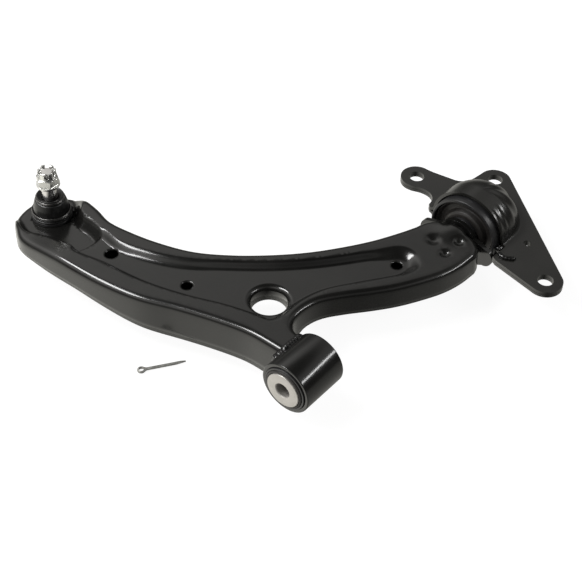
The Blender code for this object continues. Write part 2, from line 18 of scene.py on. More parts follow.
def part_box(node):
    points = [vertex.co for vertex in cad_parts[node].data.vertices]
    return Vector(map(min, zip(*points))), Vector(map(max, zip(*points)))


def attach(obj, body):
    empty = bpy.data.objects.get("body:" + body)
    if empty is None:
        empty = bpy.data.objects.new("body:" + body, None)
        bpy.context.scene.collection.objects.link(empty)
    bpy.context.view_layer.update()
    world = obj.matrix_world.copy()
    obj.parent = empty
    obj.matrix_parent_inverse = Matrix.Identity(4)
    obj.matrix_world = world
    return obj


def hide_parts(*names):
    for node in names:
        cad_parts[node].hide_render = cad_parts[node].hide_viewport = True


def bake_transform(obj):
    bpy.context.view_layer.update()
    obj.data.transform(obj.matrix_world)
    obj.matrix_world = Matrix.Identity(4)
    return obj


MM = 0.001
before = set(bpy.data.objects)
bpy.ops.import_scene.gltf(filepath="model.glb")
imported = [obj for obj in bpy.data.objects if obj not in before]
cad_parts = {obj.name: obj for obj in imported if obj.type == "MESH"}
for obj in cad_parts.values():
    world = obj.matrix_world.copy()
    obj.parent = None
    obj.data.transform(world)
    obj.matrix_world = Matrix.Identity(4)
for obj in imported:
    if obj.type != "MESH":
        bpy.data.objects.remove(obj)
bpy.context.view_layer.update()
core_low, core_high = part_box("front_bush_core")
ZERO = (core_low + core_high) / 2
FLOOR_Z = -ZERO.z / MM

# Pressed sheets of the arm
SHEET = 3.0
LOWER_SHEET = 2.6
GAP = 0.3
EDGE_R = 6.0
RIM_Z = 16.0
RIM_Z_AT_BALL = 9.0
RECESS_DEPTH = 6.0
RECESS_SLOPE = 7.0
PAD_Z = 2.0
PAD_SLOPE = 8.0
WALL_FOOT_Z = -7.5
WALL_FOOT_DROP = 12.5
WALL_DRAFT = 0.06
LIP = 4.0
SMALL_HOLES = ((-221.5, -8.5, 6.3), (-140.5, 6.5, 5.4), (-14.0, 152.5, 5.4))
BIG_HOLE = (-73.0, 41.0)
BIG_HOLE_R = 16.5
BIG_HOLE_FLARE = 5.5
BIG_HOLE_FOOT_Z = -6.0

# Bushes, bracket and ball joint
EYELET_R = 25.0
EYELET_HALF = 24.0
BUSH_SLEEVE_R = 21.2
BUSH_CORE_R = 16.9
BUSH_CORE_HALF = 27.5
BOLT_R = 7.15
RING_R = 36.0
RING_FRONT = 240.0
RING_BACK = 266.0
CUP_R = 40.4
CUP_Y = 263.0
CUP_FRONT = 248.0
CUP_STEPS = 12
PIN_R = 11.0
PIN_FRONT = 178.0
PIN_BACK = 288.0
PIN_WELD_R = 13.4
HUB_FRONT = 237.5
HUB_BACK = 278.0
PLATE = 3.0
EARS = ((-81.0, 278.0, 16.0), (-19.0, 326.0, 15.5), (97.0, 233.0, 16.5))
EAR_HOLE_R = 7.5
LOCATING_HOLE = (57.0, 265.5, 3.8)
BALL = (-311.0, 0.0, -7.0)
BALL_R = 12.0
HOUSING_R = 17.0
HOUSING_FOOT_Z = -27.0
BOOT_FOOT_Z = 5.6
BOOT_TOP_Z = 27.0
NUT_Z = 39.0
NUT_FLATS = 19.0
NUT_CROWN = 17.4
STUD_TOP_Z = 54.6
THREAD_TOP_Z = 53.6
THREAD_R = 5.9
THREAD_PITCH = 1.25
COTTER_EYE = (-133.0, -63.5)
COTTER_HEADING = math.radians(56.0)
COTTER_LENGTH = 40.7
COTTER_R = 1.4

NEAR_EDGE = (
    (-322, -37), (-303, -48), (-275, -50.5), (-240, -50), (-200, -47), (-160, -39),
    (-125, -25.5), (-90, -14), (-60, -6.5), (-36, -5), (-12, -5),
)
NOTCH_EDGE = (
    (-12, 22), (-29, 23.5), (-37, 33), (-38.5, 50), (-34, 67), (-22, 85), (-6, 105), (8, 124.5),
    (20, 146), (29.5, 167), (34.5, 187), (36, 207),
)
REAR_EDGE = (
    (36, 207), (33, 216), (25, 223), (13, 227.5), (2, 228.5), (-10, 227.5), (-21, 222.5), (-28, 214),
    (-31, 204),
)
FAR_EDGE = (
    (-31, 204), (-38, 187), (-50, 162), (-66, 136), (-85, 110), (-108, 85), (-135, 61), (-165, 41),
    (-200, 28.5), (-232, 22), (-253, 20.5), (-272, 25), (-290, 27.5), (-309, 29), (-326, 23), (-336, 8),
    (-338, -9), (-333, -26), (-322, -37),
)
RECESS = (
    (-252, -31), (-216, -27), (-172, -21), (-133, -10), (-98, 4), (-72, 12), (-53, 17), (-47, 30), (-46, 55),
    (-39, 80), (-22, 107), (-6, 130), (6, 149), (6, 163), (-8, 174), (-26, 170), (-45, 142), (-70, 109),
    (-95, 82), (-122, 58), (-151, 36), (-175, 22), (-200, 12), (-224, 6), (-252, 6),
)
POCKET = (
    (-247, -26), (-243, -8), (-246, 4), (-262, 9), (-277, 10), (-286, 19), (-292, 48), (-352, 40),
    (-352, -24), (-326, -34), (-308, -39), (-291, -34), (-278, -31), (-262, -29),
)

# Dents pressed into the arm's upper face: x, y, radius and depth
DENTS = (
    (13, 190, 6.5, 3.0), (14, 211, 7.0, 3.2), (-11, 226, 6.0, 5.0), (15, 226, 5.5, 5.0),
    (-6, 198, 9.0, 2.2),
)


# ---------------------------------------------------------------- materials

def node(tree, kind, **inputs):
    made = tree.nodes.new(kind)
    for name, value in inputs.items():
        made.inputs[name.replace("_", " ")].default_value = value
    return made


def material(name, dark, light, rough, metallic=0.0, patch=25.0, grain=900.0, depth=0.00002,
             stretch=(1, 1, 1), rings=None):
    """A finish whose colour and gloss drift over patches, with a fine grain as bump.

    rings is (rings per metre, depth) for metal turned about the front bush's axis.
    """
    made = bpy.data.materials.new(name)
    made.use_nodes = True
    tree = made.node_tree
    shader = tree.nodes["Principled BSDF"]
    shader.inputs["Metallic"].default_value = metallic
    place = tree.nodes.new("ShaderNodeTexCoord")
    mapping = node(tree, "ShaderNodeMapping", Scale=stretch)
    tree.links.new(place.outputs["Object"], mapping.inputs["Vector"])
    patches = node(tree, "ShaderNodeTexNoise", Scale=patch, Detail=4.0, Roughness=0.6)
    tree.links.new(mapping.outputs["Vector"], patches.inputs["Vector"])
    ramp = tree.nodes.new("ShaderNodeValToRGB")
    ramp.color_ramp.elements[0].position = 0.3
    ramp.color_ramp.elements[0].color = (*dark, 1)
    ramp.color_ramp.elements[1].position = 0.7
    ramp.color_ramp.elements[1].color = (*light, 1)
    tree.links.new(patches.outputs["Fac"], ramp.inputs["Fac"])
    tree.links.new(ramp.outputs["Color"], shader.inputs["Base Color"])
    fine = node(tree, "ShaderNodeTexNoise", Scale=grain, Detail=3.0, Roughness=0.55)
    tree.links.new(mapping.outputs["Vector"], fine.inputs["Vector"])
    gloss = node(tree, "ShaderNodeMapRange", From_Min=0.3, From_Max=0.7, To_Min=rough[0], To_Max=rough[1])
    tree.links.new(patches.outputs["Fac"], gloss.inputs["Value"])
    tree.links.new(gloss.outputs["Result"], shader.inputs["Roughness"])
    bump = node(tree, "ShaderNodeBump", Strength=1.0, Distance=depth)
    tree.links.new(fine.outputs["Fac"], bump.inputs["Height"])
    if rings:
        count, ring_depth = rings
        wave = node(tree, "ShaderNodeTexWave", Scale=count / 20, Distortion=0.4, Detail=2.0)
        wave.wave_type = "RINGS"
        wave.rings_direction = "Y"
        middle = node(tree, "ShaderNodeMapping", Location=[-c for c in ZERO])
        tree.links.new(place.outputs["Object"], middle.inputs["Vector"])
        tree.links.new(middle.outputs["Vector"], wave.inputs["Vector"])
        turned_marks = node(tree, "ShaderNodeBump", Strength=1.0, Distance=ring_depth)
        tree.links.new(wave.outputs["Fac"], turned_marks.inputs["Height"])
        tree.links.new(bump.outputs["Normal"], turned_marks.inputs["Normal"])
        bump = turned_marks
    tree.links.new(bump.outputs["Normal"], shader.inputs["Normal"])
    return made


BLACK_COAT = material(
    "black_coat", (0.004, 0.004, 0.0038), (0.008, 0.0079, 0.0074), (0.13, 0.2), grain=260.0, depth=0.000006
)
BRACKET_COAT = material(
    "bracket_coat", (0.006, 0.006, 0.0054), (0.011, 0.0108, 0.0098), (0.17, 0.25), grain=400.0, depth=0.000012
)
BLACK_STEEL = material("black_steel", (0.012, 0.012, 0.013), (0.02, 0.02, 0.021), (0.3, 0.4), metallic=0.2)
WELD = material(
    "weld_coat", (0.002, 0.002, 0.002), (0.006, 0.006, 0.006), (0.12, 0.3), patch=300.0, grain=1500.0,
    depth=0.0001,
)
RUBBER = material(
    "rubber", (0.007, 0.0065, 0.006), (0.014, 0.012, 0.011), (0.42, 0.6), patch=40.0, grain=2600.0,
    depth=0.00004,
)
BOOT_RUBBER = material(
    "boot_rubber", (0.003, 0.003, 0.003), (0.006, 0.006, 0.006), (0.3, 0.4), patch=60.0, grain=2200.0,
    depth=0.00002,
)
BARE_STEEL = material(
    "bare_steel", (0.34, 0.33, 0.31), (0.46, 0.44, 0.42), (0.36, 0.5), metallic=0.7, patch=90.0, grain=3000.0,
    rings=(1600.0, 0.00001),
)
STUD_STEEL = material(
    "stud_steel", (0.5, 0.49, 0.48), (0.66, 0.65, 0.64), (0.16, 0.26), metallic=1.0, patch=120.0,
    grain=3000.0, stretch=(1, 1, 8),
)
ZINC = material(
    "zinc_plate", (0.5, 0.5, 0.49), (0.7, 0.7, 0.68), (0.16, 0.3), metallic=1.0, patch=200.0, grain=700.0,
    depth=0.000012,
)
PIN_STEEL = material(
    "pin_steel", (0.2, 0.2, 0.19), (0.34, 0.34, 0.32), (0.35, 0.5), metallic=0.4, patch=200.0, grain=2000.0
)
CLIP_STEEL = material(
    "clip_steel", (0.09, 0.09, 0.09), (0.16, 0.155, 0.15), (0.25, 0.34), metallic=1.0, patch=200.0,
    depth=0.000002,
)
SEAT_PLASTIC = material("seat_plastic", (0.7, 0.67, 0.58), (0.82, 0.8, 0.72), (0.35, 0.45))
FLOOR = material("floor", (0.12, 0.12, 0.12), (0.13, 0.13, 0.13), (0.8, 0.9), patch=2.0, grain=200.0)
FLOOR_GLOW = 0.92
floor_inputs = FLOOR.node_tree.nodes["Principled BSDF"].inputs
floor_inputs["Emission Color"].default_value = (1, 1, 1, 1)
floor_inputs["Emission Strength"].default_value = FLOOR_GLOW


# ---------------------------------------------------------------- curves and heights in plan

def smooth(points, step, closed=False):
    """A Catmull-Rom curve through the points, read at about every step millimetres."""
    knots = np.array(points, float)
    if closed:
        knots = np.vstack([knots[-1], knots, knots[:2]])
    else:
        knots = np.vstack([2 * knots[0] - knots[1], knots, 2 * knots[-1] - knots[-2]])
    t = np.linspace(0, 1, 24, endpoint=False)[:, None]
    runs = []
    for a, b, c, d in zip(knots, knots[1:], knots[2:], knots[3:]):
        runs.append(b + t / 2 * ((c - a) + t * ((2 * a - 5 * b + 4 * c - d) + t * (3 * b - a - 3 * c + d))))
    runs.append(knots[-2][None])
    curve = np.vstack(runs)
    along = np.concatenate([[0], np.cumsum(np.linalg.norm(np.diff(curve, axis=0), axis=1))])
    stops = np.linspace(0, along[-1], max(3, round(along[-1] / step) + 1))
    even = np.column_stack([np.interp(stops, along, curve[:, i]) for i in range(curve.shape[1])])
    return even[:-1] if closed else even


def arc(x, y, r, start, end, steps=9):
    angles = np.radians(np.linspace(start, end, steps))
    return np.column_stack([x + r * np.cos(angles), y + r * np.sin(angles)])


def circle(x, y, r, steps):
    return arc(x, y, r, 0, 360, steps + 1)[:-1]


def arm_outline(step):
    runs = [smooth(run, step) for run in (NEAR_EDGE, NOTCH_EDGE, REAR_EDGE, FAR_EDGE)]
    return np.vstack([runs[0], runs[1][:-1], runs[2][:-1], runs[3][:-1]])


def inset(loop, depth):
    """The closed loop moved inwards by depth, with mitred corners."""
    before = loop - np.roll(loop, 1, axis=0)
    after = np.roll(loop, -1, axis=0) - loop
    normals = []
    for edge in (before, after):
        edge = edge / np.linalg.norm(edge, axis=1)[:, None]
        normals.append(np.column_stack([-edge[:, 1], edge[:, 0]]))
    middle = normals[0] + normals[1]
    middle = middle / np.maximum(0.5, (middle * normals[0]).sum(axis=1))[:, None]
    return loop + depth * middle


def distance_to(points, line, closed=True):
    ends = np.roll(line, -1, axis=0) if closed else line[1:]
    starts = line if closed else line[:-1]
    run = ends - starts
    share = ((points[:, None] - starts) * run).sum(axis=2) / (run * run).sum(axis=1)
    nearest = starts + np.clip(share, 0, 1)[:, :, None] * run
    return np.linalg.norm(points[:, None] - nearest, axis=2).min(axis=1)


def inside(points, loop):
    x, y = points[:, 0, None], points[:, 1, None]
    x0, y0 = loop[:, 0], loop[:, 1]
    x1, y1 = np.roll(x0, -1), np.roll(y0, -1)
    rise = np.where(y1 == y0, 1e-9, y1 - y0)
    crossing = ((y0 > y) != (y1 > y)) & (x < x0 + (y - y0) * (x1 - x0) / rise)
    return crossing.sum(axis=1) % 2 == 1


def ease(value, low, high):
    t = np.clip((value - low) / (high - low), 0, 1)
    return t * t * (3 - 2 * t)


RECESS_LOOP = smooth(RECESS, 1.7, closed=True)
POCKET_LOOP = smooth(POCKET, 1.7, closed=True)
NEAR_LINE = smooth(NEAR_EDGE, 5)


def top_height(points):
    """Height of the upper sheet's face, before its edge is rounded over."""
    x, y = points[:, 0], points[:, 1]
    rim = RIM_Z_AT_BALL + (RIM_Z - RIM_Z_AT_BALL) * ease(x, -305, -245)
    rim = rim + (RIM_Z - rim) * ease(y, -5, 15)
    rim = rim + 4 * np.exp(-(((x - 2) / 17) ** 2)) * ease(y, 196, 222)
    depth = np.where(inside(points, RECESS_LOOP), distance_to(points, RECESS_LOOP), 0)
    slope = RECESS_SLOPE + 7 * ease(y, 138, 162) + 3 * (1 - ease(x, -165, -125)) * ease(y, -8, 4)
    height = rim - RECESS_DEPTH * ease(depth / slope, 0, 1)
    sunk = np.where(inside(points, POCKET_LOOP), distance_to(points, POCKET_LOOP), 0)
    height = height + (PAD_Z - height) * ease(sunk / (PAD_SLOPE + 24 * ease(y, 12, 30)), 0, 1)
    for dent_x, dent_y, r, deep in DENTS:
        away = np.hypot(x - dent_x, y - dent_y)
        height = height - deep * (1 - ease(away, 0, r))
    return height


def foot_height(points):
    """Height of the lower edge of the arm's wall, which is deepest along the front leg."""
    deep = 1 - ease(distance_to(points, NEAR_LINE, closed=False), 18, 55)
    return WALL_FOOT_Z - WALL_FOOT_DROP * deep * ease(points[:, 0], -235, -125)


# ---------------------------------------------------------------- mesh helpers

def mesh_of(bm, name, angle=35.0):
    mesh = bpy.data.meshes.new(name)
    bm.to_mesh(mesh)
    bm.free()
    mesh.shade_smooth()
    mesh.set_sharp_from_angle(angle=math.radians(angle))
    return mesh


def piece(name, mesh, finish, body, slot, replaces=(), place=Matrix.Identity(4)):
    """Adds a mesh in millimetres as a piece that rides on a CAD body."""
    mesh.transform(Matrix.Translation(ZERO) @ Matrix.Scale(MM, 4) @ place)
    mesh.materials.clear()
    mesh.materials.append(finish)
    obj = bpy.data.objects.new(name, mesh)
    bpy.context.scene.collection.objects.link(obj)
    if body:
        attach(obj, body)
    if replaces:
        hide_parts(*replaces)
    return obj


def helper(name, mesh, place=Matrix.Identity(4)):
    """Adds a mesh in millimetres as a cutter, which isn't shown."""
    mesh.transform(Matrix.Translation(ZERO) @ Matrix.Scale(MM, 4) @ place)
    obj = bpy.data.objects.new(name, mesh)
    bpy.context.scene.collection.objects.link(obj)
    obj.hide_render = True
    obj.hide_viewport = True
    return obj


def facing(bm, side):
    """Turns an open surface's faces so that its extreme face in Z, top for 1 or bottom for -1, looks out."""
    bmesh.ops.recalc_face_normals(bm, faces=bm.faces)
    extreme = max(bm.faces, key=lambda face: face.calc_center_median().z * side)
    if extreme.normal.z * side < 0:
        bmesh.ops.reverse_faces(bm, faces=bm.faces)
    return bm


def filled(bm, border, holes, seeds, height):
    """Fills the border with triangles between it, the holes and the seed points."""
    loops = [border] + holes
    points = [p for loop in loops for p in loop] + list(seeds)
    edges = []
    start = 0
    for loop in loops:
        count = len(loop)
        edges += [(start + i, start + (i + 1) % count) for i in range(count)]
        start += count
    plan, _, faces, origins, _, _ = delaunay_2d_cdt([Vector(p) for p in points], edges, [], 0, 1e-4)
    plan = np.array([tuple(p) for p in plan])
    heights = height(plan)
    middles = np.array([plan[list(face)].mean(axis=0) for face in faces])
    keep = inside(middles, np.array(border))
    for hole in holes:
        keep &= ~inside(middles, np.array(hole))
    used = {i for face, kept in zip(faces, keep) if kept for i in face}
    verts = {i: bm.verts.new((*plan[i], heights[i])) for i in used}
    for face, kept in zip(faces, keep):
        if kept:
            bm.faces.new([verts[i] for i in face])
    return {origin: verts[i] for i, made in enumerate(origins) if i in verts for origin in made}


def strips(bm, rings):
    for upper, lower in zip(rings, rings[1:]):
        count = len(upper)
        for i in range(count):
            j = (i + 1) % count
            bm.faces.new((upper[i], upper[j], lower[j], lower[i]))


def rounded(corners, steps=4):
    """A profile with each corner (x, y, radius) rounded off by an arc."""
    made = []
    count = len(corners)
    for i, (x, y, r) in enumerate(corners):
        here = Vector((x, y))
        if r == 0:
            made.append((x, y))
            continue
        back = Vector(corners[i - 1][:2]) - here
        on = Vector(corners[(i + 1) % count][:2]) - here
        half = back.angle(on) / 2
        reach = min(r / math.tan(half), 0.49 * back.length, 0.49 * on.length)
        first, last = here + back.normalized() * reach, here + on.normalized() * reach
        for t in np.linspace(0, 1, steps + 1):
            made.append(tuple(first * (1 - t) ** 2 + here * 2 * t * (1 - t) + last * t**2))
    return made


def turned(profile, steps=96, axis="Z", radius=None):
    """A turned skin from (radius, height) points.

    radius can change the reach, as a function of the angle, the point's radius and its height.
    """
    bm = bmesh.new()
    angles = np.linspace(0, 2 * math.pi, steps, endpoint=False)
    rings = []
    for r, h in profile:
        if r < 1e-6:
            rings.append([bm.verts.new((0, 0, h))])
            continue
        ring = []
        for a in angles:
            reach = radius(a, r, h) if radius else r
            ring.append(bm.verts.new((reach * math.cos(a), reach * math.sin(a), h)))
        rings.append(ring)
    pairs = list(zip(rings, rings[1:]))
    if len(rings[0]) > 1 and len(rings[-1]) > 1:
        pairs.append((rings[-1], rings[0]))
    for upper, lower in pairs:
        for i in range(steps):
            j = (i + 1) % steps
            if len(upper) == 1 and len(lower) == 1:
                break
            if len(upper) == 1:
                bm.faces.new((upper[0], lower[i], lower[j]))
            elif len(lower) == 1:
                bm.faces.new((upper[i], lower[0], upper[j]))
            else:
                bm.faces.new((upper[i], lower[i], lower[j], upper[j]))
    bmesh.ops.recalc_face_normals(bm, faces=bm.faces)
    if axis == "Y":
        bmesh.ops.rotate(bm, verts=bm.verts, matrix=Matrix.Rotation(math.radians(-90), 3, "X"))
    return bm


def swept(path, section):
    """A solid swept along points.

    section(share of the length, index) gives its outline across the path, as (sideways, up) points.
    """
    path = np.array(path, float)
    bm = bmesh.new()
    count = len(path)
    rings = []
    for i, here in enumerate(path):
        before = path[i - 1] if i else here
        after = path[i + 1] if i < count - 1 else here
        along = Vector(after - before).normalized()
        up = Vector((0, 0, 1))
        if abs(along.z) > 0.9:
            up = Vector((0, 1, 0))
        side = along.cross(up).normalized()
        up = side.cross(along)
        rings.append([
            bm.verts.new(Vector(here) + side * s + up * t) for s, t in section(i / max(1, count - 1), i)
        ])
    for a, b in zip(rings, rings[1:]):
        for i in range(len(a)):
            j = (i + 1) % len(a)
            bm.faces.new((a[i], a[j], b[j], b[i]))
    bm.faces.new(rings[0])
    bm.faces.new(rings[-1])
    bmesh.ops.recalc_face_normals(bm, faces=bm.faces)
    return bm


def weld_bead(name, path, r, body, flat=0.75, phase=0.0):
    """A run of weld with its overlapping ripples."""
    line = smooth(path, 0.7)

    def section(share, i):
        ripple = 0.86 + 0.14 * abs(math.sin(i * 0.7 + phase)) + 0.05 * math.sin(i * 0.23 + phase * 3)
        ends = min(1.0, 0.35 + 6 * share, 0.35 + 6 * (1 - share))
        size = r * ripple * ends
        angles = np.linspace(0, 2 * math.pi, 12, endpoint=False)
        return [(size * math.cos(a), flat * size * math.sin(a)) for a in angles]

    return piece(name, mesh_of(swept(line, section), name, 60), WELD, body, "black_coat")


def cut(obj, *cutters, solver="EXACT"):
    for cutter in cutters:
        boolean = obj.modifiers.new(cutter.name, "BOOLEAN")
        boolean.solver = solver
        boolean.object = cutter
    return obj


def solidified(obj, thickness):
    solid = obj.modifiers.new("thickness", "SOLIDIFY")
    solid.thickness = thickness * MM
    solid.offset = -1
    return obj


def bevelled(obj, width, segments=2):
    bevel = obj.modifiers.new("edges", "BEVEL")
    bevel.width = width * MM
    bevel.segments = segments
    bevel.limit_method = "ANGLE"
    bevel.angle_limit = math.radians(50)
    bevel.harden_normals = True
    return obj


# ---------------------------------------------------------------- the arm's two pressed sheets

def seeds_for(face, holes, lines, grid, bands):
    """Seed points: rows that follow the creases, and a triangular grid over the flats between them."""
    low, high = face.min(axis=0), face.max(axis=0)
    rows = []
    for i, y in enumerate(np.arange(low[1], high[1], grid * 0.866)):
        xs = np.arange(low[0] + (i % 2) * grid / 2, high[0], grid)
        rows.append(np.column_stack([xs, np.full(len(xs), y)]))
    points = np.vstack(rows)
    points = points[inside(points, face)]
    for line, reach in bands:
        near = distance_to(points, line) < reach
        points = points[~(near & inside(points, line))]
    runs = [points]
    for line in lines:
        runs.append(line)
    points = np.vstack(runs)
    keep = inside(points, face) & (distance_to(points, face) > 1.2)
    for hole in holes:
        keep &= ~inside(points, hole) & (distance_to(points, hole) > 1.0)
    return points[keep]


def sheet_surface(outline, height, foot, holes, seeds, edge_r, draft, depths, wall_steps):
    """The outer face of a pressed sheet: filled top, rounded edge and a wall down to the foot."""
    bm = bmesh.new()
    face = inset(outline, edge_r)
    found = filled(bm, face, holes, seeds(face), height)
    rings = [[found[i] for i in range(len(face))]]
    for depth in depths:
        ring = inset(outline, depth)
        drop = edge_r - math.sqrt(edge_r**2 - (edge_r - depth) ** 2)
        rings.append([bm.verts.new((*p, h - drop)) for p, h in zip(ring, height(ring))])
    top_z = np.array([v.co.z for v in rings[-1]])
    foot_z = foot(outline)
    out = outline - inset(outline, 1.0)
    for share in np.linspace(0, 1, wall_steps + 1)[1:]:
        z = top_z + (foot_z - top_z) * share
        spread = np.maximum(0, top_z - z) * draft
        rings.append([bm.verts.new((*p, h)) for p, h in zip(outline + out * spread[:, None], z)])
    strips(bm, rings)
    return bm, found


EDGE_DEPTHS = [EDGE_R * (1 - math.sin(math.radians(a))) for a in (15, 30, 45, 60, 75, 90)]
OUTLINE_STEP = 3.0
OUTLINE = arm_outline(OUTLINE_STEP)


def upper_shell():
    holes = [circle(x, y, r, 36) for x, y, r in SMALL_HOLES]
    flare = [circle(*BIG_HOLE, BIG_HOLE_R + BIG_HOLE_FLARE, 72)]
    housing = [circle(BALL[0], BALL[1], HOUSING_R + GAP, 60)]
    lines = []
    for loop, slope in ((RECESS_LOOP, RECESS_SLOPE), (POCKET_LOOP, PAD_SLOPE)):
        lines += [inset(loop, depth) for depth in np.linspace(0, slope, 7)]
        lines += [inset(loop, depth)[::2] for depth in (slope + 1.6, slope + 3.4, slope + 5.4)]
    for x, y, r, _ in DENTS:
        lines += [circle(x, y, r * share, 16) for share in (0.25, 0.5, 0.75, 1.0)]
    for x, y, r in SMALL_HOLES:
        lines.append(circle(x, y, r + 1.6, 28))
    lines.append(circle(*BIG_HOLE, BIG_HOLE_R + BIG_HOLE_FLARE + 2, 60))
    bands = [(RECESS_LOOP, RECESS_SLOPE + 7.5), (POCKET_LOOP, PAD_SLOPE + 7.5)]
    all_holes = holes + flare + housing

    def seeds(face):
        return seeds_for(face, all_holes, lines, 4.2, bands)

    bm, found = sheet_surface(
        OUTLINE, top_height, foot_height, all_holes, seeds, EDGE_R, WALL_DRAFT, EDGE_DEPTHS, 4
    )
    first = len(OUTLINE) + sum(len(loop) for loop in holes)
    ring = [found[i] for i in range(first, first + 72)]
    rings = [ring]
    level = sum(v.co.z for v in ring) / len(ring)
    for turn in (12, 24, 36, 48, 60, 75, 90):
        r = BIG_HOLE_R + BIG_HOLE_FLARE * (1 - math.sin(math.radians(turn)))
        z = level - BIG_HOLE_FLARE * (1 - math.cos(math.radians(turn)))
        rings.append([bm.verts.new((*p, z)) for p in circle(*BIG_HOLE, r, 72)])
    rings.append([bm.verts.new((*p, BIG_HOLE_FOOT_Z)) for p in circle(*BIG_HOLE, BIG_HOLE_R, 72)])
    strips(bm, rings)
    mesh = mesh_of(facing(bm, 1), "upper_shell", 40)
    shell = piece("upper_shell", mesh, BLACK_COAT, "arm", "black_coat", ["arm_upper_shell"])
    return solidified(shell, SHEET)


def lower_shell():
    outline = inset(arm_outline(5.0), SHEET + 3 * GAP)
    holes = [
        circle(*BIG_HOLE, BIG_HOLE_R + SHEET + GAP, 60),
        circle(BALL[0], BALL[1], HOUSING_R + GAP, 60),
    ]

    def height(points):
        return -foot_height(points) - GAP

    def lip_top(points):
        return -foot_height(points) - LIP

    def seeds(face):
        return seeds_for(face, holes, [], 7.0, [])

    bm, _ = sheet_surface(outline, height, lip_top, holes, seeds, 3.2, 0.0, (2.0, 1.2, 0.6, 0.2, 0.0), 1)
    bmesh.ops.transform(bm, matrix=Matrix.Diagonal((1, 1, -1, 1)), verts=bm.verts)
    mesh = mesh_of(facing(bm, -1), "lower_shell", 40)
    shell = piece("lower_shell", mesh, BLACK_COAT, "arm", "black_coat", ["arm_lower_shell"])
    return solidified(shell, LOWER_SHEET)


def arm_shells():
    room = [(0, -45), (EYELET_R + 0.1, -45), (EYELET_R + 0.1, 45), (0, 45)]
    eyelet = helper("eyelet_room", mesh_of(turned(room, 128, "Y"), "eyelet_room"))
    room = [(0, PIN_FRONT - 1), (PIN_R + GAP, PIN_FRONT - 1), (PIN_R + GAP, PIN_BACK), (0, PIN_BACK)]
    pin = helper("pin_room", mesh_of(turned(room, 64, "Y"), "pin_room"))
    for shell in (upper_shell(), lower_shell()):
        cut(shell, eyelet, pin, solver="MANIFOLD")


# ---------------------------------------------------------------- front bush

def front_bush():
    def ring(name, outer, inner, half, finish, body, slot, replaces, edge=0.6):
        corners = [(outer, half, edge), (outer, -half, edge), (inner, -half, edge), (inner, half, edge)]
        mesh = mesh_of(turned(rounded(corners), 128, "Y"), name)
        return piece(name, mesh, finish, body, slot, [replaces])

    ring("eyelet", EYELET_R, BUSH_SLEEVE_R + 0.05, EYELET_HALF, BLACK_COAT, "arm", "black_coat",
         "front_eyelet", 1.0)
    ring("bush_sleeve", BUSH_SLEEVE_R, BUSH_SLEEVE_R - 1.8, EYELET_HALF + 1.2, BLACK_STEEL, "arm",
         "black_steel", "front_bush_sleeve", 0.4)
    core = [
        (BUSH_CORE_R, BUSH_CORE_HALF, 0.8), (BUSH_CORE_R, -BUSH_CORE_HALF, 0.8),
        (BOLT_R + 0.8, -BUSH_CORE_HALF, 0), (BOLT_R, 0.8 - BUSH_CORE_HALF, 0),
        (BOLT_R, BUSH_CORE_HALF - 0.8, 0), (BOLT_R + 0.8, BUSH_CORE_HALF, 0),
    ]
    piece("bush_core", mesh_of(turned(rounded(core), 128, "Y"), "bush_core"), BARE_STEEL, "front_sleeve",
          "bare_steel", ["front_bush_core"])
    outer, inner = BUSH_SLEEVE_R - 1.8, BUSH_CORE_R + 0.2
    edge = EYELET_HALF + 2.2
    half_profile = [
        (outer, EYELET_HALF, 0.3), (outer - 0.3, edge - 0.6, 0.5), (inner + 1.3, edge, 0.5),
        (inner + 0.5, edge + 0.2, 0.3), (inner, edge - 0.8, 0.3),
    ]
    mirrored = [(r, -h, f) for r, h, f in reversed(half_profile)]
    piece("bush_rubber", mesh_of(turned(rounded(half_profile + mirrored), 128, "Y"), "bush_rubber"), RUBBER,
          "arm", "rubber", ["front_bush_rubber"])
    reach = EYELET_R + 0.4

    def on_eyelet(z, y):
        return (-math.sqrt(reach**2 - z * z), y, z)

    near = [on_eyelet(z, -6.6 if z < 10 else -5 + (z - 10) * 0.8) for z in (-19, -12, -5, 2, 8, 12, 14.5)]
    across = [on_eyelet(15.8, y) for y in (1, 6, 12, 17)]
    far = [on_eyelet(z, 23.6 if z < 10 else 22 - (z - 10) * 0.6) for z in (14.5, 12, 6, 0, -6)]
    weld_bead("eyelet_weld_top", near + across + far, 4.0, "arm", 0.75)
    under = [on_eyelet(-18.5, y) for y in (-4, 3, 10, 17, 22)]
    weld_bead("eyelet_weld_under", under, 2.2, "arm", 0.8, 1.3)


# ---------------------------------------------------------------- rear pin, bush and bracket

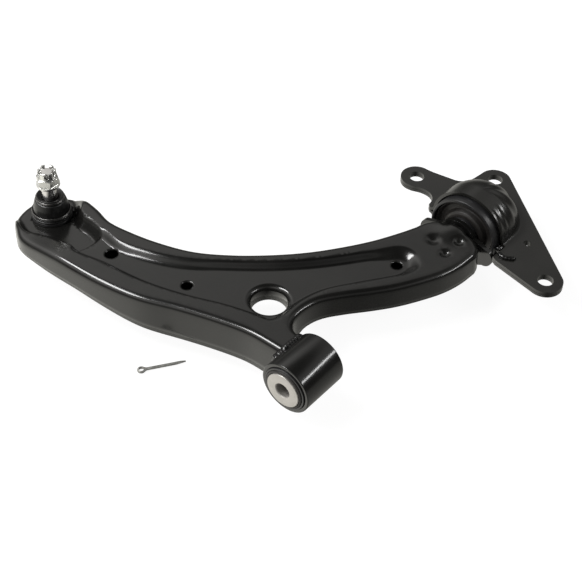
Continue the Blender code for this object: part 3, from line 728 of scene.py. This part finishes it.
def rear_pin():
    profile = rounded([
        (0, PIN_BACK, 0), (PIN_R - 3, PIN_BACK, 0.6), (PIN_R - 1.5, PIN_BACK - 2, 0.6),
        (PIN_R - 1.5, 236, 0.3), (PIN_R, 235.5, 0.3), (PIN_R, PIN_FRONT + 1.5, 0.6),
        (PIN_R - 1.5, PIN_FRONT, 0.6), (0, PIN_FRONT, 0),
    ])
    piece("pin", mesh_of(turned(profile, 64, "Y"), "pin"), BLACK_STEEL, "arm", "black_steel", ["rear_pin"])
    outline = np.vstack([
        arc(0, 0, 20, 25, 155, 28), arc(-31, -6, 10, 120, 270, 20), arc(31, -6, 10, -90, 60, 20),
    ])
    bm = bmesh.new()
    filled(bm, outline, [circle(0, 0, PIN_R + 0.1, 48)], [], lambda plan: np.zeros(len(plan)))
    grown = bmesh.ops.extrude_face_region(bm, geom=list(bm.faces))["geom"]
    bmesh.ops.translate(bm, vec=(0, 0, 4.5), verts=[g for g in grown if isinstance(g, bmesh.types.BMVert)])
    bmesh.ops.recalc_face_normals(bm, faces=bm.faces)
    for name, turn in (("pin_weld_left", 1), ("pin_weld_right", -1)):
        path = [
            (turn * PIN_WELD_R * math.cos(a), 229.2 + 0.8 * math.sin(5 * a), PIN_WELD_R * math.sin(a))
            for a in np.radians(np.linspace(8, 82, 9))
        ]
        weld_bead(name, path, 2.6, "arm", 0.9, turn)
    place = Matrix.Translation((0, 234.5, 0)) @ Matrix.Rotation(math.radians(90), 4, "X")
    mesh = mesh_of(bm, "pin_flange")
    flange = piece("pin_flange", mesh, BLACK_COAT, "arm", "black_coat", ["rear_pin_flange"], place)
    bevelled(flange, 0.8, 3)


def rear_bush():
    corners = [
        (RING_R, RING_BACK, 0.5), (RING_R, RING_FRONT, 0.9), (RING_R - 2.8, RING_FRONT, 0.9),
        (RING_R - 2.8, RING_BACK, 0.5),
    ]
    piece("bush_ring", mesh_of(turned(rounded(corners), 128, "Y"), "bush_ring"), BLACK_STEEL, "rear_bracket",
          "black_steel", ["rear_bush_ring"])
    outer = RING_R - 2.9
    core = PIN_R - 1.2
    profile = rounded([
        (core + 7.3, RING_BACK + 6, 0.5), (outer - 6, RING_BACK + 1, 2), (outer, RING_BACK - 4, 0.5),
        (outer, RING_FRONT + 4, 0.5), (outer - 1.5, RING_FRONT + 2.2, 1.0),
        (outer - 4, RING_FRONT + 7.5, 1.6), (outer - 9.5, RING_FRONT + 7, 1.6),
        (outer - 11, RING_FRONT + 2.2, 0.8), (outer - 13, RING_FRONT + 1, 0.8),
        (core + 7.3, RING_FRONT + 0.5, 0.4),
    ])
    piece("hub_rubber", mesh_of(turned(profile, 128, "Y"), "hub_rubber"), RUBBER, "rear_bracket", "rubber",
          ["rear_bush_rubber"])
    corners = [
        (core + 7.1, HUB_BACK, 0.6), (core + 7.1, HUB_FRONT, 0.8), (core, HUB_FRONT, 0.5),
        (core, HUB_BACK, 0.5),
    ]
    mesh = mesh_of(turned(rounded(corners), 96, "Y"), "hub_core")
    piece("hub_core", mesh, BLACK_STEEL, "arm", "black_steel", ["rear_bush_core"])


def bracket_outline(step):
    """The bracket plates' outline, anticlockwise from the right foot of the cup's mouth."""
    left, rear, right = EARS
    shoulder = smooth(((-35, 322), (-37.5, 309), (-45, 300), (-58, 297), (-72, 294.5)), step)
    neck = smooth(((-76, 262.6), (-66, 266), (-56, 265.5), (-48.5, 259), (-46.5, 248)), step)
    return np.vstack([
        [(42.5, CUP_FRONT), (42.5, 228), (47, 225.5)],
        arc(*right, -105, 51, 40),
        arc(*rear, 51, 178, 36),
        shoulder,
        arc(*left, 85, 268, 44),
        neck,
    ])


def cup_rings(steps_round, fillet, flat_z):
    """Rings of the cup from its foot up to near its crown, each from the right front edge, round the back,
    to the left front edge."""
    low = math.asin((fillet + flat_z) / (CUP_R + fillet))
    levels = []
    for t in np.linspace(0, 1, 6, endpoint=False):
        turn = t * (math.pi / 2 - low)
        r = (CUP_R + fillet) * math.cos(low) - fillet * math.sin(turn)
        levels.append((r, flat_z + fillet * (1 - math.cos(turn))))
    for rise in np.linspace(low, math.pi / 2, 18, endpoint=False):
        levels.append((CUP_R * math.cos(rise), CUP_R * math.sin(rise)))
    rings = []
    for r, z in levels:
        ring = []
        for y in np.linspace(CUP_FRONT, CUP_Y, CUP_STEPS + 1)[:-1]:
            fold = 0.5 * math.sin((y - CUP_FRONT) * 0.85) * ease(z, 6, 14) * (1 - ease(z, 30, 38))
            ring.append((r + fold, y, z))
        for a in np.linspace(0, math.pi, steps_round):
            crease = math.sin(11 * a) * ease(a, 0.05, 0.3) * (1 - ease(a, 1.3, 1.9)) * ease(z, 5, 12)
            creased = r + 0.75 * crease
            ring.append((creased * math.cos(a), CUP_Y + creased * math.sin(a), z))
        ring += [(-r, y, z) for y in np.linspace(CUP_Y, CUP_FRONT, CUP_STEPS + 1)[1:]]
        rings.append(ring)
    return rings


def bracket_half(name, side, node_name):
    fillet = 4.0
    flat_z = PLATE + GAP / 2
    rings = cup_rings(81, fillet, flat_z)
    edge = bracket_outline(3.0)
    foot = np.array([p[:2] for p in rings[0]])
    outline = np.vstack([edge, foot[::-1][1:-1]])
    outline[0] = foot[0]
    outline[len(edge) - 1] = foot[-1]
    holes = [circle(x, y, EAR_HOLE_R, 48) for x, y, _ in EARS]
    holes.append(circle(*LOCATING_HOLE, 24))
    bm = bmesh.new()
    grid = np.array([(x, y) for x in np.arange(-96, 116, 6.0) for y in np.arange(216, 344, 6.0)])
    clear = inside(grid, outline) & (distance_to(grid, outline) > 4)
    for hole in holes:
        clear &= ~inside(grid, hole) & (distance_to(grid, hole) > 4)
    found = filled(bm, outline, holes, grid[clear], lambda plan: np.full(len(plan), flat_z))
    plates = len(edge)
    lowest = [found[0]] + [found[i] for i in range(len(outline) - 1, plates - 1, -1)] + [found[plates - 1]]
    rows = [lowest] + [[bm.verts.new(p) for p in ring] for ring in rings[1:]]
    for lower, upper in zip(rows, rows[1:]):
        for a, b, c, d in zip(lower, lower[1:], upper[1:], upper):
            bm.faces.new((a, b, c, d))
    crest = [bm.verts.new((0, y, CUP_R)) for y in np.linspace(CUP_FRONT, CUP_Y, CUP_STEPS + 1)]
    last = rows[-1]
    for i in range(CUP_STEPS):
        bm.faces.new((last[i], last[i + 1], crest[i + 1], crest[i]))
        bm.faces.new((last[-1 - i], last[-2 - i], crest[i + 1], crest[i]))
    for a, b in zip(last[CUP_STEPS:-CUP_STEPS - 1], last[CUP_STEPS + 1:-CUP_STEPS]):
        bm.faces.new((a, b, crest[-1]))
    if side < 0:
        bmesh.ops.transform(bm, matrix=Matrix.Diagonal((1, 1, -1, 1)), verts=bm.verts)
    mesh = mesh_of(facing(bm, side), name, 40)
    half = piece(name, mesh, BRACKET_COAT, "rear_bracket", "black_coat", [node_name])
    solidified(half, PLATE)
    return bevelled(half, 0.5)


def bracket():
    bracket_half("bracket_top", 1, "bracket_upper")
    bracket_half("bracket_bottom", -1, "bracket_lower")
    path = [(39.4, y, 0.6) for y in (240.5, 243, 246)]
    weld_bead("mouth_weld", path, 3.2, "rear_bracket", 0.9)
    path = [(44, 236, 3.6), (47.5, 233.5, 3.7), (52, 233.5, 3.8), (57, 236, 3.8), (61, 239, 3.6)]
    weld_bead("plate_weld", path, 2.4, "rear_bracket", 1.0, 0.4)


# ---------------------------------------------------------------- ball joint

def at_ball(bm):
    bmesh.ops.translate(bm, verts=bm.verts, vec=(BALL[0], BALL[1], 0))
    return bm


def ball_joint():
    body_r = HOUSING_R
    bore_r = BALL_R + 2.6
    housing = rounded([
        (body_r + 2.6, 5.0, 0.6), (body_r + 2.6, PAD_Z + 0.1, 0.3), (body_r, PAD_Z + 0.1, 0.3),
        (body_r, HOUSING_FOOT_Z, 1.2), (bore_r + 0.6, HOUSING_FOOT_Z, 0.5), (bore_r + 0.6, -22.4, 0),
        (bore_r, -22.4, 0), (bore_r, 0, 0.5), (12.6, 3.2, 0.4), (12.6, 5.0, 0.4),
    ])
    mesh = mesh_of(at_ball(turned(housing)), "joint_housing")
    piece("joint_housing", mesh, BLACK_STEEL, "arm", "black_steel", ["ball_housing"])
    cap = rounded([
        (0, -22.8, 0), (bore_r + 0.2, -22.8, 0.2), (bore_r + 0.2, -25, 0.4), (10, -25.4, 1.0),
        (7, -24.4, 1.0), (0, -24.4, 0),
    ])
    piece("joint_cap", mesh_of(at_ball(turned(cap)), "joint_cap"), BLACK_STEEL, "arm", "black_steel",
          ["housing_cap"])
    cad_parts["ball_seat"].data.materials.clear()
    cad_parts["ball_seat"].data.materials.append(SEAT_PLASTIC)
    stud()
    boot()
    nut()


def stud():
    ball = [
        (BALL_R * math.cos(rise), BALL[2] + BALL_R * math.sin(rise), 0)
        for rise in np.radians(np.arange(60, -68, -6))
    ]
    corners = [(0, STUD_TOP_Z, 0), (4.9, STUD_TOP_Z, 0.4)]
    corners += [(THREAD_R, z, 0) for z in np.arange(THREAD_TOP_Z, 39.4, -0.16)]
    corners += [(5.4, 39.0, 0.3), (6.6, 38.4, 0.4), (7.9, 24.0, 0.5), (7.9, 15.5, 1.0), (6.0, 9.0, 1.5)]
    corners += ball + [(4.5, BALL[2] - 11, 0), (0, BALL[2] - 11, 0)]

    def radius(a, r, h):
        if r != THREAD_R:
            return r
        turn = (h / THREAD_PITCH - a / (2 * math.pi)) % 1
        return r - 0.62 * abs(2 * turn - 1)

    mesh = mesh_of(at_ball(turned(rounded(corners), 72, radius=radius)), "stud_body", 50)
    made = piece("stud_body", mesh, STUD_STEEL, "stud", "bare_steel", ["ball_stud"])
    hole = turned([(0, -9), (1.6, -9), (1.6, 9), (0, 9)], 24, "Y")
    bmesh.ops.rotate(hole, verts=hole.verts, matrix=Matrix.Rotation(math.radians(15 - 90), 3, "Z"))
    bmesh.ops.translate(hole, verts=hole.verts, vec=(0, 0, NUT_Z + 13.2))
    cut(made, helper("pin_hole", mesh_of(at_ball(hole), "pin_hole")))


def boot():
    profile = rounded([
        (8.3, 24.6, 0.5), (11.0, BOOT_TOP_Z - 0.6, 0.8), (12.6, BOOT_TOP_Z, 0.6),
        (13.0, BOOT_TOP_Z - 1.4, 0.5), (12.3, BOOT_TOP_Z - 2.2, 0.4), (12.4, BOOT_TOP_Z - 3.8, 0.4),
        (14.6, 22.4, 1.4), (16.3, 16.5, 4.0), (17.2, 10.6, 1.4), (17.3, 9.3, 0.4), (17.4, 7.4, 0.4),
        (19.6, 7.0, 0.5), (19.6, BOOT_FOOT_Z, 0.4), (15.4, BOOT_FOOT_Z, 0.4), (15.4, 10, 1.0),
        (14.6, 14, 2.0), (11.2, 21.8, 2.0), (8.3, 23.4, 0.5),
    ], 5)
    mesh = mesh_of(at_ball(turned(profile, 96)), "boot")
    made = piece("boot", mesh, BOOT_RUBBER, None, "rubber", ["dust_boot"])
    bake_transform(made)
    for name, r, z, wire, body, stands_for in (
        ("boot_clip_low", 18.3, 9.3, 0.62, "arm", "boot_lower_ring"),
        ("boot_clip_high", 13.2, BOOT_TOP_Z - 2.9, 0.62, "stud_tilt", "boot_upper_ring"),
    ):
        turns = np.linspace(0, 2.15 * 2 * math.pi, 200)
        path = [
            (r * math.cos(a), r * math.sin(a), z + (a / (2 * math.pi) - 1) * wire * 1.9) for a in turns
        ]
        angles = np.linspace(0, 2 * math.pi, 10, endpoint=False)
        ring = [(wire * math.cos(a), wire * math.sin(a)) for a in angles]
        mesh = mesh_of(at_ball(swept(path, lambda share, i, ring=ring: ring)), name, 60)
        piece(name, mesh, CLIP_STEEL, body, "black_steel", [stands_for])


def nut():
    half = NUT_FLATS / 2

    def radius(a, r, h):
        """Hexagon flats below the crown, cut by the round of the profile."""
        if not NUT_Z + 2.0 < h < NUT_Z + 9.9:
            return r
        flat = half / math.cos((a + math.pi / 6) % (math.pi / 3) - math.pi / 6)
        return min(r, flat)

    corner = half / math.cos(math.pi / 6)
    profile = rounded([
        (11.2, NUT_Z + 1.4, 0.5), (11.2, NUT_Z, 0.3), (6.9, NUT_Z, 0.2), (6.2, NUT_Z + 0.7, 0),
        (6.2, NUT_Z + 16.8, 0), (6.9, NUT_Z + NUT_CROWN, 0.2), (8.3, NUT_Z + NUT_CROWN, 0.5),
        (8.7, NUT_Z + 16.4, 0.5), (8.7, NUT_Z + 10.2, 0.6), (9.3, NUT_Z + 9.9, 0),
        (corner - 0.2, NUT_Z + 9.2, 0), (corner, NUT_Z + 8.6, 0), (corner, NUT_Z + 6, 0),
        (corner, NUT_Z + 3.2, 0), (corner, NUT_Z + 2.1, 0), (corner + 0.2, NUT_Z + 1.95, 0.1),
    ])
    mesh = mesh_of(at_ball(turned(profile, 144, radius=radius)), "nut", 32)
    made = piece("nut", mesh, ZINC, "stud", "zinc", ["castle_nut"])
    cutters = []
    for i in range(3):
        bm = bmesh.new()
        bmesh.ops.create_cube(bm, size=1, matrix=Matrix.Diagonal((24, 3.8, 12, 1)))
        edges = [e for e in bm.edges if abs(e.verts[0].co.z + 6) < 0.1 and abs(e.verts[1].co.z + 6) < 0.1]
        edges = [e for e in edges if abs((e.verts[0].co - e.verts[1].co).x) > 1]
        bmesh.ops.bevel(bm, geom=edges, offset=1.3, segments=4, affect="EDGES")
        turn = Matrix.Rotation(math.radians(60 * i + 15), 4, "Z")
        place = Matrix.Translation((BALL[0], BALL[1], NUT_Z + 17.2)) @ turn
        cutters.append(helper(f"nut_slot_{i}", mesh_of(bm, f"nut_slot_{i}"), place))
    cut(made, *cutters)


# ---------------------------------------------------------------- cotter pin

def cotter_pin():
    """A split pin folded from half-round wire, its two flats together."""
    eye_r = 2.5
    eye = [tuple(p) for p in arc(0, 0, eye_r, 38, 322, 30)]
    legs = COTTER_LENGTH
    sides = [(x, 0.12 - 0.1 * x / legs) for x in np.linspace(legs, 4.6, 24)]
    short = [(x, -0.12 + 0.1 * x / legs) for x in np.linspace(4.6, legs - 3.5, 22)]
    path = sides + [(3.4, 0.7)] + eye + [(3.4, -0.7)] + short
    half = [(COTTER_R * math.sin(a), COTTER_R * math.cos(a)) for a in np.linspace(0, math.pi, 10)]

    def section(share, i):
        size = 0.55 + 0.45 * min(1.0, i / 3, (len(path) - 1 - i) / 3)
        return [(size * s, size * t) for s, t in half]

    bm = swept([(x, y, 0) for x, y in path], section)
    lean = Matrix.Rotation(COTTER_HEADING, 4, "Z")
    place = Matrix.Translation((*COTTER_EYE, FLOOR_Z + COTTER_R)) @ lean
    piece("split_pin", mesh_of(bm, "split_pin"), PIN_STEEL, "cotter", "zinc", ["cotter_pin"], place)


# ---------------------------------------------------------------- stage, light and camera

def area_light(name, place, target, size, power, colour=(1, 1, 1)):
    light = bpy.data.lights.new(name, "AREA")
    light.shape = "RECTANGLE"
    light.size, light.size_y = size
    light.energy = power
    light.color = colour
    obj = bpy.data.objects.new(name, light)
    bpy.context.scene.collection.objects.link(obj)
    obj.location = place
    obj.rotation_euler = (Vector(target) - Vector(place)).to_track_quat("-Z", "Y").to_euler()
    return obj


# How bright the studio is at each height, as the z of the direction: the pale ground, the dark walls, a band
# of soft light and the dark ceiling
SKY = (
    (-1.0, 0.65), (-0.3, 0.55), (-0.14, 0.45), (0.0, 0.12), (0.25, 0.1), (0.45, 0.3), (0.6, 0.72),
    (0.74, 0.72), (0.84, 0.2), (0.93, 0.06), (1.0, 0.04),
)

# How the brightness changes around the studio: a direction, the span of its dot product and the two shares
SIDES = (((-0.8, -0.6, 0), -0.2, 0.65, 0.06, 2.4), ((0.6, 0.8, 0), -0.2, 0.7, 0.0, 0.75))

# How far the lamps stand from the arm, in metres
LAMP_REACH = 1.7


def studio():
    bm = bmesh.new()
    bmesh.ops.create_grid(bm, x_segments=8, y_segments=8, size=6)
    floor = bpy.data.objects.new("floor", mesh_of(bm, "floor"))
    floor.data.materials.append(FLOOR)
    floor.location = (0, 0, -0.0005)
    bpy.context.scene.collection.objects.link(floor)
    floor.visible_glossy = False
    world = bpy.data.worlds.new("studio")
    bpy.context.scene.world = world
    world.use_nodes = True
    tree = world.node_tree
    place = tree.nodes.new("ShaderNodeTexCoord")
    parts = tree.nodes.new("ShaderNodeSeparateXYZ")
    tree.links.new(place.outputs["Generated"], parts.inputs["Vector"])
    level = node(tree, "ShaderNodeMapRange", From_Min=-1.0, From_Max=1.0)
    tree.links.new(parts.outputs["Z"], level.inputs["Value"])
    ramp = tree.nodes.new("ShaderNodeValToRGB")
    tree.links.new(level.outputs["Result"], ramp.inputs["Fac"])
    for i, (height, shade) in enumerate(SKY):
        stop = ramp.color_ramp.elements[i] if i < 2 else ramp.color_ramp.elements.new((height + 1) / 2)
        stop.position = (height + 1) / 2
        stop.color = (shade, 0.985 * shade, (0.95 if height > 0 else 0.91) * shade, 1)
    total = tree.nodes.new("ShaderNodeMath")
    for i, (towards, low, high, dark, bright) in enumerate(SIDES):
        side = tree.nodes.new("ShaderNodeVectorMath")
        side.operation = "DOT_PRODUCT"
        side.inputs[1].default_value = towards
        tree.links.new(place.outputs["Generated"], side.inputs[0])
        share = node(tree, "ShaderNodeMapRange", From_Min=low, From_Max=high, To_Min=dark, To_Max=bright)
        tree.links.new(side.outputs["Value"], share.inputs["Value"])
        tree.links.new(share.outputs["Result"], total.inputs[i])
    tree.links.new(ramp.outputs["Color"], tree.nodes["Background"].inputs["Color"])
    tree.links.new(total.outputs["Value"], tree.nodes["Background"].inputs["Strength"])
    area_light("left_box", Vector((-0.45, -0.35, 0.82)) * LAMP_REACH, (0, 0, 0), (1.1, 0.3), 26)
    area_light("right_box", Vector((0.72, 0.42, 0.52)) * LAMP_REACH, (0, 0, 0), (0.9, 0.12), 7)
    place = Vector((-0.55, -0.78, 0.3)) * LAMP_REACH
    fill = area_light("front_fill", place, (0, 0, 0), (1.2, 0.8), 12, (1, 0.97, 0.93))
    fill.visible_glossy = False


# The camera's azimuth, elevation and roll in degrees, its lens in millimetres, and how far in metres the
# middle of the front bush lies ahead of it, to its right and below it
CAMERA_ANGLES = (38.44, 43.86, 1.87)
LENS = 80.41
CAMERA_PLACE = (1.10825, 0.01026, 0.06974)


def camera():
    azimuth, elevation, roll = map(math.radians, CAMERA_ANGLES)
    right = Vector((math.cos(azimuth), math.sin(azimuth), 0))
    ahead = Vector((
        -math.sin(azimuth) * math.cos(elevation),
        math.cos(azimuth) * math.cos(elevation),
        -math.sin(elevation),
    ))
    up = right.cross(ahead)
    right, up = (
        math.cos(roll) * right + math.sin(roll) * up,
        math.cos(roll) * up - math.sin(roll) * right,
    )
    made = bpy.data.objects.new("camera", bpy.data.cameras.new("camera"))
    bpy.context.scene.collection.objects.link(made)
    made.data.sensor_width = 36
    made.data.lens = LENS
    made.data.clip_start, made.data.clip_end = 0.05, 30
    distance, across, lower = CAMERA_PLACE
    place = ZERO - right * across + up * lower - ahead * distance
    made.matrix_world = Matrix((
        (right.x, up.x, -ahead.x, place.x),
        (right.y, up.y, -ahead.y, place.y),
        (right.z, up.z, -ahead.z, place.z),
        (0, 0, 0, 1),
    ))
    bpy.context.scene.camera = made
    bpy.context.scene.view_settings.view_transform = "Standard"


arm_shells()
front_bush()
rear_pin()
rear_bush()
bracket()
ball_joint()
cotter_pin()
studio()
camera()
